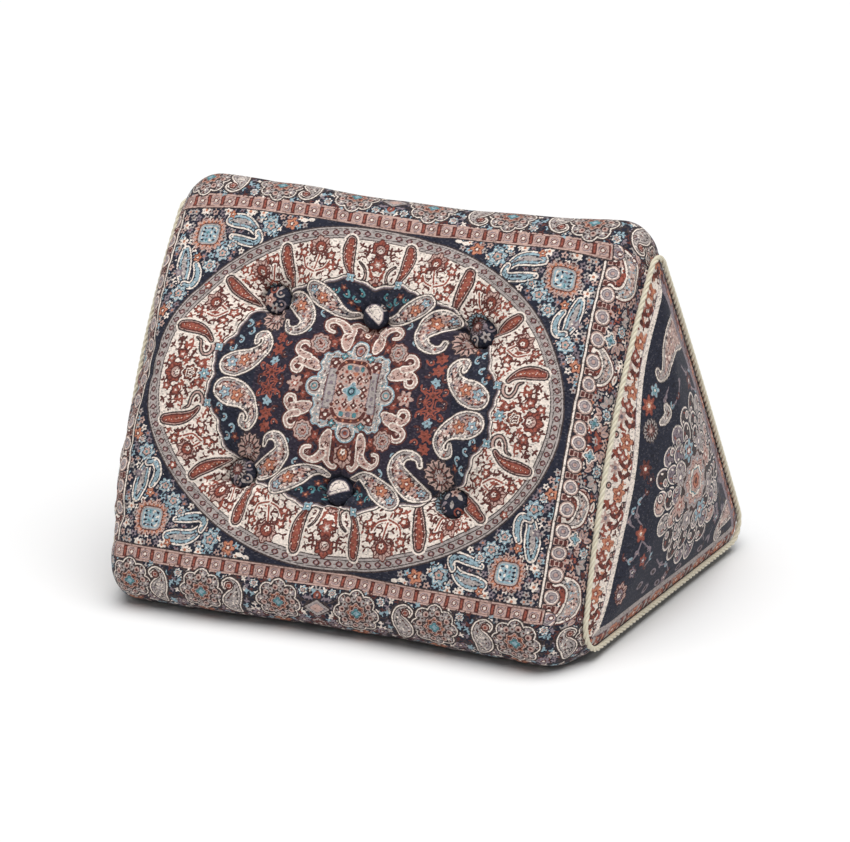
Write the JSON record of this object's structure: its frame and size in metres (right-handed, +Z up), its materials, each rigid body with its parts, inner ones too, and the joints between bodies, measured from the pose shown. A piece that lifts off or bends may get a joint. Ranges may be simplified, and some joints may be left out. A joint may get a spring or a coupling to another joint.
{
  "type": "triangular backrest cushion",
  "caption": "Filled triangular backrest cushion in patterned cloth, with a button-tufted leaning front, piped end panels and a flat base.",
  "frame": {"origin": "middle of the cushion's footprint on the surface it rests on", "axes": "+X along the cushion from end panel to end panel, -Y towards the tufted front, +Z up"},
  "size_m": [0.5458, 0.4112, 0.3752],
  "materials": {
    "wrap_cloth": "woven paisley cloth, soft sheen",
    "panel_cloth": "woven paisley cloth, soft sheen",
    "cord": "cream twisted cord, silky",
    "button_cloth": "covered in the woven cloth"
  },
  "bodies": {
    "root": {"body": "wrap_cloth", "end_panel_left": "panel_cloth", "end_panel_right": "panel_cloth", "cord_left": "cord", "cord_right": "cord", "button_upper_left": "button_cloth", "button_upper_middle": "button_cloth", "button_upper_right": "button_cloth", "button_lower_left": "button_cloth", "button_lower_middle": "button_cloth", "button_lower_right": "button_cloth"}
  },
  "joints": []
}
